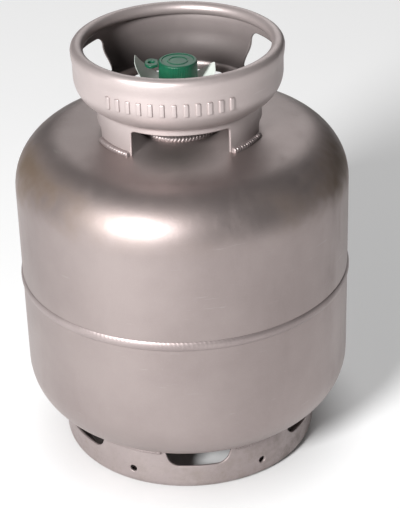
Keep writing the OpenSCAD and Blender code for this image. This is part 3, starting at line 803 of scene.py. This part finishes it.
pitch = 2.0 * MM
turns = np.linspace(0, 2 * math.pi, 345)[:-1]
distances = np.linspace(0, collar_length, round(collar_length / pitch))
collar_mesh = punched_sheet(collar_surface, turns, distances, True, collar_solid, pitch, sheet_t,
                            0.8 * MM)
collar_ring = finished("collar_ring", collar_mesh, "cylinder", collar_paint, ["collar"], 50)

# %% [markdown]
# ## The foot ring
# The foot ring keeps the vessel off the ground and lets air under it. Six vents are
# punched in from its top edge, and between them six small holes let water out. Its lower
# edge turns inwards to a flat face, so that it doesn't cut into a floor. It is the same
# kind of piece as the collar, so the same two helpers make it.

# %% Foot ring
foot_r = 142.5 * MM - sheet_t / 2
foot_bend = 9 * MM
foot_path = [(foot_r - 7.5 * MM - 13 * MM, sheet_t / 2)] \
    + arc((foot_r + sheet_t / 2 - foot_bend, foot_bend), foot_bend - sheet_t / 2, -90, 0, 12) \
    + [(foot_r, z_low - end_height(foot_r) + 0.9 * MM)]
foot_surface, foot_length = rolled(spaced(foot_path, 1.5 * MM))
VENTS, FIRST_VENT, LEAN = 6, math.radians(3), math.radians(17)
VENT_Z, VENT_HALF, VENT_ROUND = 31 * MM, 30.5 * MM, 7 * MM
DRAIN_Z, DRAIN_R = 20 * MM, 4 * MM


def foot_solid(turn, distance, point):
    """Distance from the foot ring's vents and drain holes, positive in the steel."""
    nearest = np.full(turn.shape, 1.0)
    for k in range(VENTS):
        side, ahead = across(point, FIRST_VENT + 2 * math.pi * k / VENTS)
        over_side = (np.abs(side) - VENT_HALF) * math.cos(LEAN) - (point[..., 2] - VENT_Z) * math.sin(LEAN)
        under = VENT_Z - point[..., 2]
        a, b = over_side + VENT_ROUND, under + VENT_ROUND
        skew = math.sin(LEAN)
        round_part = np.sqrt(np.maximum(a * a + b * b + 2 * a * b * skew, 0)) / math.cos(LEAN)
        vent = np.where((a > 0) & (b > 0) & (a + b * skew > 0) & (b + a * skew > 0),
                        round_part - VENT_ROUND, np.maximum(over_side, under))
        nearest = np.where(ahead > 0, np.minimum(nearest, vent), nearest)
        side, ahead = across(point, FIRST_VENT + 2 * math.pi * (k + 0.5) / VENTS)
        drain = np.hypot(side, point[..., 2] - DRAIN_Z) - DRAIN_R
        nearest = np.where(ahead > 0, np.minimum(nearest, drain), nearest)
    return nearest


foot_turns = np.linspace(0, 2 * math.pi, 481)[:-1]
foot_distances = np.linspace(0, foot_length, round(foot_length / (1.8 * MM)))
foot_mesh = punched_sheet(foot_surface, foot_turns, foot_distances, True, foot_solid, 1.85 * MM,
                          sheet_t, 0.8 * MM)
foot_piece = finished("foot_piece", foot_mesh, "cylinder", foot_paint, ["foot_ring"], 50)

# %% [markdown]
# ## Short welds
# Hand welds hold the collar's legs and the foot ring's lands to the vessel, and one runs
# round the valve boss. They are the same recipe with a three-cornered outline whose
# free face bulges a little.

# %% Collar, foot and boss welds
def fillet(r, z, up, leg):
    """A fillet weld's outline in the corner outside radius r, above or below height z."""
    root = (r - 0.7 * MM, z - up * 0.7 * MM)
    face = [(r + leg * math.cos(a) * (0.92 + 0.10 * math.sin(2 * a)),
             z + up * leg * math.sin(a) * (0.92 + 0.10 * math.sin(2 * a)))
            for a in np.radians(np.linspace(-8, 98, 11))]
    return [root] + face + [root]


def fillet_welds(r, z, up, leg, spans, seed, ripple=3.4 * MM):
    meshes = []
    for n, (start, end) in enumerate(spans):
        ring = end - start > 6.28
        meshes.append(bead(fillet(r, z, up, leg), (r - 0.7 * MM, z - up * 0.7 * MM), ripple,
                           start=start, sweep=end - start, depth=0.09,
                           steps=max(24, round((end - start) * r / (0.6 * MM))),
                           taper=0.0 if ring else 3 * MM / r, seed=seed + 1.7 * n))
    return together(meshes)


collar_face = neck_r + sheet_t / 2
first, last = math.asin(50 / 87.5) + 0.02, math.pi / 2 - math.asin(28 / 87.5) - 0.02
leg_spans = [(a - math.pi / 2, b - math.pi / 2) for a, b in
             ((first, last), (-last, -first), (math.pi - last, math.pi - first),
              (math.pi + first, math.pi + last))]
leg_welds = finished("leg_welds", fillet_welds(collar_face, z_high + end_height(collar_face), 1,
                                               4.6 * MM, leg_spans, 1.0),
                     "cylinder", weld_paint, ["collar_welds"], 60)
foot_face_r = foot_r + sheet_t / 2
foot_weld_z = z_low - end_height(foot_face_r)
vent_top_half = VENT_HALF + (foot_weld_z - VENT_Z) * math.tan(LEAN)
land = math.pi / VENTS - math.asin(vent_top_half / foot_face_r) - 0.012
foot_spans = [(FIRST_VENT + 2 * math.pi * (k + 0.5) / VENTS - land - math.pi / 2,
               FIRST_VENT + 2 * math.pi * (k + 0.5) / VENTS + land - math.pi / 2) for k in range(VENTS)]
land_welds = finished("land_welds", fillet_welds(foot_face_r, foot_weld_z, -1, 4.6 * MM, foot_spans, 20.0),
                      "cylinder", weld_paint, ["foot_ring_welds"], 60)
boss_r = 42 * MM
boss_weld = finished("boss_weld", fillet_welds(boss_r, z_high + end_height(boss_r), 1, 4.6 * MM,
                                               [(0.0, 2 * math.pi)], 40.0),
                     "cylinder", weld_paint, ["flange_weld"], 60)

# %% [markdown]
# ## Upright seam welds
# The collar and the foot ring are strips whose ends meet at the back. The design's own
# beads follow both sheets exactly, so they stay and only get the weld's finish.

# %% Seam welds keep their design shape
for name in ("collar_seam_weld", "foot_ring_seam_weld"):
    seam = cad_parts[name]
    seam.data.materials.clear()
    seam.data.materials.append(weld_paint)
    print(name, "keeps its own mesh,", len(seam.data.polygons), "faces")

# %% [markdown]
# ## Grip ribs on the collar's front
# The front of the band carries twelve short raised ribs, evenly spaced. Repeats are what
# Geometry Nodes are for: the recipe sets out points along an arc, turns one small
# rounded bar to face outwards at each, and makes the copies real.

# %% Ribs
def rib_recipe():
    tree, given = recipe("raised_ribs", {"Geometry": None, "Material": None, "Count": 12,
                                         "Radius": 0.1, "Height": 0.4, "Spread": 1.0,
                                         "Centre": 0.0})
    index = put(tree, "GeometryNodeInputIndex")
    turn = (index / (given["Count"] - 1) - 0.5) * given["Spread"] + given["Centre"]
    points = put(tree, "GeometryNodePoints", {}, {
        "Count": given["Count"],
        "Position": around_axis(tree, given["Radius"], turn, given["Height"])})
    facing = put(tree, "ShaderNodeCombineXYZ", {}, {"Z": turn})
    copies = put(tree, "GeometryNodeInstanceOnPoints", {}, {
        "Points": points, "Instance": given["Geometry"],
        "Rotation": put(tree, "FunctionNodeEulerToRotation", {}, {"Euler": facing})})
    close_recipe(tree, copies, given["Material"])
    return tree


def rounded_bar(thick, wide, tall, levels=2):
    """A small bar with soft edges, standing on its middle."""
    work = bmesh.new()
    bmesh.ops.create_cube(work, size=1.0)
    bmesh.ops.scale(work, vec=(thick, wide, tall), verts=work.verts)
    bmesh.ops.bevel(work, geom=work.edges[:], offset=0.42 * min(thick, wide), segments=levels,
                    affect="EDGES", profile=0.6)
    mesh = bpy.data.meshes.new("bar")
    work.to_mesh(mesh)
    work.free()
    return mesh


raised_ribs = rib_recipe()
bar = rounded_bar(3.4 * MM, 5.4 * MM, 14 * MM, 3)
ribs = cook(raised_ribs, bar, {
    "Count": 12, "Radius": band_r + sheet_t / 2 - 0.25 * MM, "Height": z_top + 63.5 * MM,
    "Spread": math.radians(69), "Centre": math.radians(-96), "Material": collar_paint})
front_ribs = finished("front_ribs", ribs, "cylinder", collar_paint, (), 60)

# %% [markdown]
# ## Valve boss, valve and plug
# The boss is a forged ring welded into the dome. The valve screws into it, and a hexagon
# on the valve takes the spanner. The hexagon is cut on the turning recipe itself: where
# the flat lies closer to the axis than the turned radius, the flat wins, and that leaves
# the curved chamfer marks every real nut has. Threads are drawn as fine grooves.

# %% Boss and valve
boss_top = z_top + 12 * MM
boss_outline = [(13.45 * MM, z_top - 8 * MM), (37 * MM, z_top - 8 * MM), (37 * MM, z_top - 0.8 * MM),
                (42 * MM, z_top - 0.8 * MM), (42 * MM, boss_top), (13.45 * MM, boss_top)]
boss = turned("boss", corners(boss_outline, 1.2 * MM), "cylinder", weld_paint, ["valve_flange"],
              steps=128)
hex_top = boss_top + 11 * MM
groove_low, groove_top = hex_top + 19 * MM, hex_top + 25 * MM
valve_top = groove_top + 22 * MM
shank_low = boss_top - 24 * MM
web_top = valve_top - 16 * MM
web_low = web_top - 5 * MM


def threaded(r, low, high, pitch, depth, outwards=1):
    """Points up a thread drawn as rings: crest, flank, root, flank."""
    count = max(1, round((high - low) / pitch))
    step = (high - low) / count
    line = []
    for k in range(count):
        base = low + k * step
        line += [(r, base + 0.12 * step), (r - outwards * depth, base + 0.45 * step),
                 (r - outwards * depth, base + 0.58 * step), (r, base + 0.92 * step)]
    return line


bore = [(7.2 * MM, web_top), (7.2 * MM, valve_top - 9.5 * MM), (8 * MM, valve_top - 9.5 * MM)] \
    + threaded(8 * MM, valve_top - 9 * MM, valve_top - 1.2 * MM, 1.6 * MM, 0.7 * MM, -1)
valve_line = [(8.5 * MM, shank_low), (12.4 * MM, shank_low)] \
    + threaded(13.4 * MM, shank_low + 1.5 * MM, boss_top, 1.8 * MM, 0.9 * MM) \
    + [(13.4 * MM, boss_top), (14.6 * MM, boss_top), (14.6 * MM, hex_top), (15.5 * MM, hex_top),
       (15.5 * MM, groove_low - 0.6 * MM), (14.9 * MM, groove_low), (13 * MM, groove_low),
       (13 * MM, groove_top), (14.9 * MM, groove_top), (15.5 * MM, groove_top + 0.6 * MM),
       (15.5 * MM, valve_top - 1.2 * MM), (14.6 * MM, valve_top), (9.6 * MM, valve_top)] \
    + bore[::-1] + [(4.5 * MM, web_top), (4.5 * MM, web_low),
                    (8.5 * MM, web_low), (8.5 * MM, shank_low)]
valve_barrel = turned("valve_barrel", valve_line, "cylinder", brass, ["valve_body"], steps=96)
hex_line = [(14.2 * MM, boss_top), (16.4 * MM, boss_top), (18.6 * MM, boss_top + 1.3 * MM),
            (18.6 * MM, hex_top - 1.3 * MM), (16.4 * MM, hex_top), (14.2 * MM, hex_top),
            (14.2 * MM, boss_top)]
valve_hexagon = turned("valve_hexagon", hex_line, "cylinder", brass, (), sharp=20, steps=144,
                       flat=16 * MM)

# %% [markdown]
# ## Inside the valve
# The gas is held back by a rubber washer on a plunger. A coil spring pushes the plunger
# up against the seat, and a regulator's pin pushes it down by 3.5 mm. These pieces are
# seen only when the seal is off, but they are the reason the valve works. The plunger
# and its washer ride on their own body. The spring stays with the cylinder.

# %% Plunger, washer, O-ring, bush
washer_top = web_low - 0.05 * MM
plunger_top = washer_top - 2.5 * MM
plunger_low = plunger_top - 3 * MM
bush_top = shank_low + 5 * MM
stem_tip = web_top + 6 * MM
plunger_line = [(0.0, shank_low - 3.5 * MM), (2 * MM, shank_low - 3.5 * MM), (2 * MM, plunger_low),
                (7 * MM, plunger_low), (7 * MM, plunger_top), (2.5 * MM, plunger_top),
                (2.5 * MM, stem_tip), (0.0, stem_tip)]
plunger_piece = turned("plunger_piece", corners(plunger_line, 0.5 * MM)[:-1], "plunger", brass,
                       ["valve_plunger"], steps=64)
washer_line = [(2.55 * MM, plunger_top), (7 * MM, plunger_top), (7 * MM, washer_top), (2.55 * MM, washer_top)]
washer_piece = turned("washer_piece", corners(washer_line, 0.4 * MM), "plunger", black_rubber,
                      ["plunger_washer"], steps=64)
ring_line = arc((6 * MM, web_top + 1.2 * MM), 1.2 * MM, 0, 360, 17)
outlet_ring = turned("outlet_ring", ring_line, "cylinder", black_rubber, ["outlet_o_ring"], steps=72)
bush_line = [(2.05 * MM, shank_low), (8.45 * MM, shank_low), (8.45 * MM, bush_top), (2.05 * MM, bush_top)]
bush_piece = turned("bush_piece", corners(bush_line, 0.5 * MM), "cylinder", brass,
                    ["valve_bottom_bush"], steps=64)

# %% [markdown]
# A spring is wire carried along a helix. The recipe sets a grid's columns along the
# helix and its rows round the wire, and flattens the first and last turns, as ground
# spring ends are.

# %% Spring
def coil_recipe():
    tree, given = recipe("coil", {"Geometry": None, "Material": None, "Steps": 400, "Turns": 8.0,
                                  "Mean R": 0.005, "Wire R": 0.0006, "Bottom": 0.0, "Length": 0.05})
    sides = 10
    grid, column, row = swept_grid(tree, given["Steps"], sides + 1)
    share = column / given["Steps"]
    turned_by = share * given["Turns"]
    lifted = ((turned_by - 0.8) / (given["Turns"] - 1.6)).most(0.0).least(1.0)
    side = row * (2 * math.pi / sides)
    ends = (share * given["Steps"]).least((1 - share) * given["Steps"]).least(1.0)
    wire = given["Wire R"] * ends
    radius = given["Mean R"] + wire * side.cos()
    angle = turned_by * (2 * math.pi)
    height = given["Bottom"] + given["Wire R"] + (given["Length"] - 2 * given["Wire R"]) * lifted \
        + wire * side.sin()
    close_sweep(tree, grid, around_axis(tree, radius, angle, height), given["Material"])
    return tree


spring_h = plunger_low - bush_top
coil = cook(coil_recipe(), line_mesh([(0.0, 0.0)]), {"Material": spring_steel, "Steps": 384, "Turns": 8.0,
                                             "Mean R": 5 * MM, "Wire R": 0.6 * MM,
                                             "Bottom": bush_top, "Length": spring_h})
spring_piece = finished("spring_piece", coil, "cylinder", spring_steel, ["valve_spring"], 60)
1 - 3.5 * MM / spring_h
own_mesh(spring_piece)

# %% [markdown]
# ## Fusible plug
# Beside the valve a small hexagon plug holds a core of metal that melts in a fire and
# lets the gas out before the vessel bursts. It is turned about the axis first and then
# moved to its place in its mesh, so the object itself stays at the origin.

# %% Plug
def moved_mesh(piece, x, y):
    for vertex in piece.data.vertices:
        vertex.co.x += x
        vertex.co.y += y
    piece.data.update()
    return piece


plug_x, plug_y = 28 * MM * math.sin(math.radians(150)), -28 * MM * math.cos(math.radians(150))
head_top = boss_top + 7 * MM
plug_low = z_top - 8 * MM
plug_line = [(3 * MM, plug_low), (6 * MM, plug_low), (6 * MM, boss_top), (7.0 * MM, boss_top),
             (8.1 * MM, boss_top + 0.6 * MM), (8.1 * MM, head_top - 1.1 * MM), (7.0 * MM, head_top),
             (3 * MM, head_top), (3 * MM, plug_low)]
plug = moved_mesh(turned("plug", plug_line, "cylinder", brass, ["fusible_plug_body"], sharp=20,
                         steps=96, flat=7 * MM), plug_x, plug_y)
core_line = [(0.0, plug_low), (3 * MM, plug_low), (3 * MM, head_top - 0.4 * MM), (2.6 * MM, head_top),
             (0.0, head_top - 0.5 * MM)]
plug_core = moved_mesh(turned("plug_core", core_line, "cylinder", fusible_metal,
                              ["fusible_plug_core"], steps=48), plug_x, plug_y)

# %% [markdown]
# ## The seal
# A filler presses a plastic cap over the valve to show that nobody has opened it. It has
# an inner sleeve that grips the head, an outer skirt with fine flutes for the fingers,
# and a shallow dish in its top with a ring where it was moulded. Flutes repeat round the
# skirt, so they come from the turning recipe as a ripple in its radius.

# %% Seal cap
seal_low, seal_top = groove_top + 1.5 * MM, valve_top + 1.9 * MM
seal_r, seal_t = 20.5 * MM, 1.6 * MM
sleeve_in, sleeve_out = 15.8 * MM, 17.4 * MM
dish = [(0.0, seal_top - 0.9 * MM), (9 * MM, seal_top - 0.9 * MM), (9.6 * MM, seal_top - 0.2 * MM),
        (10.6 * MM, seal_top - 0.2 * MM), (11.2 * MM, seal_top - 0.8 * MM),
        (16.5 * MM, seal_top - 0.7 * MM), (17.3 * MM, seal_top)]
skirt = arc((seal_r - 2 * MM, seal_top - 2 * MM), 2 * MM, 90, 0, 7) \
    + [(seal_r, seal_low + 1.2 * MM), (seal_r - 0.5 * MM, seal_low)]
inside = [(seal_r - seal_t, seal_low), (seal_r - seal_t, seal_top - 2 * seal_t),
          (sleeve_out, seal_top - 2 * seal_t), (sleeve_out, seal_low + 0.4 * MM),
          (sleeve_out - 0.5 * MM, seal_low), (sleeve_in, seal_low), (sleeve_in, seal_top - seal_t),
          (0.0, seal_top - seal_t)]
seal_piece = turned("seal_piece", dish + spaced(skirt, 4 * MM) + inside, "seal", seal_plastic,
                    ["seal_cap"], steps=360, flutes=72.0, flute_depth=0.00018,
                    flute_from=seal_r - 0.3 * MM)

# %% [markdown]
# ## The tear tab
# A ring tab starts the tear. A flat curve can be given a thickness and a rounded edge
# and can hold a hole, which is all this shape needs, so it is drawn as a filled curve
# and made a mesh before it is moved to its height.

# %% Tear tab
def flat_plate(loops, low, high, edge_round):
    """A plate with round edges from closed 2D outlines; later loops are holes."""
    curve = bpy.data.curves.new("plate", "CURVE")
    curve.dimensions, curve.fill_mode = "2D", "BOTH"
    for loop in loops:
        line = curve.splines.new("POLY")
        line.points.add(len(loop) - 1)
        for point, (x, y) in zip(line.points, loop):
            point.co = (x, y, 0, 1)
        line.use_cyclic_u = True
    curve.extrude = (high - low) / 2 - edge_round
    curve.bevel_depth, curve.bevel_resolution, curve.offset = edge_round, 3, -edge_round
    holder = bpy.data.objects.new("plate", curve)
    bpy.context.scene.collection.objects.link(holder)
    mesh = bpy.data.meshes.new_from_object(
        holder.evaluated_get(bpy.context.evaluated_depsgraph_get()))
    bpy.data.objects.remove(holder)
    for vertex in mesh.vertices:
        vertex.co.z += (low + high) / 2
    return mesh


tab_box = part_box("tear_tab")
tab_r = (tab_box[1].y - tab_box[0].y) / 2
tab_cx = tab_box[0].x + tab_r
grip_r = 1.5 * tab_r
tab_loop = [(tab_box[1].x, -tab_r), (tab_box[1].x, tab_r)] \
    + [(tab_cx + tab_r * math.cos(a), grip_r * math.sin(a)) for a in np.radians(np.linspace(75, 285, 35))]
tab_hole = [(tab_cx + tab_r / 2 * math.cos(a), tab_r / 2 * math.sin(a))
            for a in np.radians(np.linspace(0, 360, 33))[:-1]]
tab_mesh = flat_plate([tab_loop, tab_hole], tab_box[0].z - 1.2 * MM, tab_box[1].z, 0.7 * MM)
tab_piece = finished("tab_piece", tab_mesh, "tab", seal_plastic, ["tear_tab"], 50)

# %% [markdown]
# ## The safety label
# The label is a stiff plastic film with a hole that snaps into the groove of the
# valve. Its own spring curls both ends up against the seal. It is a sheet rather than a
# block, so it is laid out on the curl's surface with the same punching helper: the
# outline and the hole are both signed distances.

# %% Label
label_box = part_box("safety_label")
label_t = 0.6 * MM
curl_r = 48 * MM - label_t / 2
curl_z = label_box[0].z + label_t / 2 + curl_r
label_half, label_mid = 42 * MM, -3 * MM
film_half = 25 * MM


def label_surface(around, side):
    """A place on the curled film: angle round the curl, and distance across it."""
    return np.stack([curl_r * np.sin(around), -side + 0 * around,
                     curl_z - curl_r * np.cos(around)], -1)


def label_solid(around, side, point):
    x, y = point[..., 0], point[..., 1]
    slope = np.maximum(np.cos(around), 0.3)
    edge = -box_distance(x - label_mid, y, label_half, film_half, 16 * MM)
    hole = np.hypot(x, y) - 13.8 * MM
    return np.minimum(edge / slope, hole)


label_u = np.linspace(math.asin((label_mid - label_half) / curl_r) - 0.03,
                      math.asin((label_mid + label_half) / curl_r) + 0.03, 72)
label_v = np.linspace(-film_half - 1 * MM, film_half + 1 * MM, 37)
film = punched_sheet(label_surface, label_u, label_v, False, label_solid, 1.45 * MM, label_t,
                     0.25 * MM)
label_piece = finished("label_piece", film, "label", label_plastic, ["safety_label"], 50)

# %% [markdown]
# ## Studio
# The cylinder stands on a plain pale floor that glows a little, as a lit table does. The
# glow is left out under the foot and fades back in by 22 cm from the axis, a painted
# shadow round the cylinder's base. Satin metal shows its lights as soft bright shapes, so
# the lights matter as much as the paint.
# A strong soft one in front and to the left gives the broad highlight on the shoulder. A
# wide weak one behind gives the dome its even grey.

# %% Floor and lights
floor_finish = Finish("floor", {"Specular IOR Level": 0.3, "Emission Strength": 0.34})
speckle = floor_finish.noise(3, 3.0, 0.5)
floor_finish.feed("Base Color", floor_finish.mix(speckle, (0.66, 0.66, 0.66, 1), (0.69, 0.69, 0.69, 1)))
floor_finish.feed("Roughness", 0.75 + 0.1 * speckle)
# Painted shadow: no glow within 12 cm of the axis, fading in to full glow at 22 cm.
clear_of_foot = floor_finish.radius.between(0.12, 0.22)
floor_finish.feed("Emission Color", floor_finish.mix(clear_of_foot, (0, 0, 0, 1), (1, 1, 1, 1)))
floor_mesh = bpy.data.meshes.new("floor")
floor_mesh.from_pydata([(-9, -9, 0), (9, -9, 0), (9, 9, 0), (-9, 9, 0)], [], [(0, 1, 2, 3)])
floor_mesh.materials.append(floor_finish.material)
floor = bpy.data.objects.new("floor", floor_mesh)
bpy.context.scene.collection.objects.link(floor)


def soft_light(name, place, aim, size, power):
    lamp = bpy.data.lights.new(name, "AREA")
    lamp.shape, lamp.size, lamp.energy = "DISK", size, power
    light = bpy.data.objects.new(name, lamp)
    light.location = place
    light.rotation_euler = (Vector(aim) - Vector(place)).to_track_quat("-Z", "Y").to_euler()
    bpy.context.scene.collection.objects.link(light)
    return light


soft_light("key", (-1.90, -3.02, 2.1), (0, 0, 0.28), 1.0, 300)
soft_light("back", (0.4, 3.2, 2.2), (0, 0.6, 0.2), 3.0, 28)
world = bpy.data.worlds.new("studio")
world.use_nodes = True
world.node_tree.nodes["Background"].inputs["Color"].default_value = (1, 1, 1, 1)
world.node_tree.nodes["Background"].inputs["Strength"].default_value = 0.06
bpy.context.scene.world = world
bpy.context.scene.view_settings.view_transform = "Standard"

# %% [markdown]
# ## Camera
# A long lens from above the front keeps the upright sides nearly straight. The camera is
# turned very slightly about its own line of sight, and the small shift only frames the
# cylinder.

# %% Camera
lens = bpy.data.cameras.new("camera")
lens.sensor_fit, lens.sensor_height, lens.lens = "VERTICAL", 24.0, 79.99
lens.shift_x, lens.shift_y = 0.0313, -0.0329
camera = bpy.data.objects.new("camera", lens)
eye, target = Vector((0, -1.6372, 1.1447)), Vector((0, 0, 0.238))
aim = (target - eye).to_track_quat("-Z", "Y")
camera.location = eye
camera.rotation_euler = (aim.to_matrix() @ Euler((0, 0, -0.0357)).to_matrix()).to_euler()
bpy.context.scene.collection.objects.link(camera)
bpy.context.scene.camera = camera
print("camera", round((target - eye).length, 3), "m away")
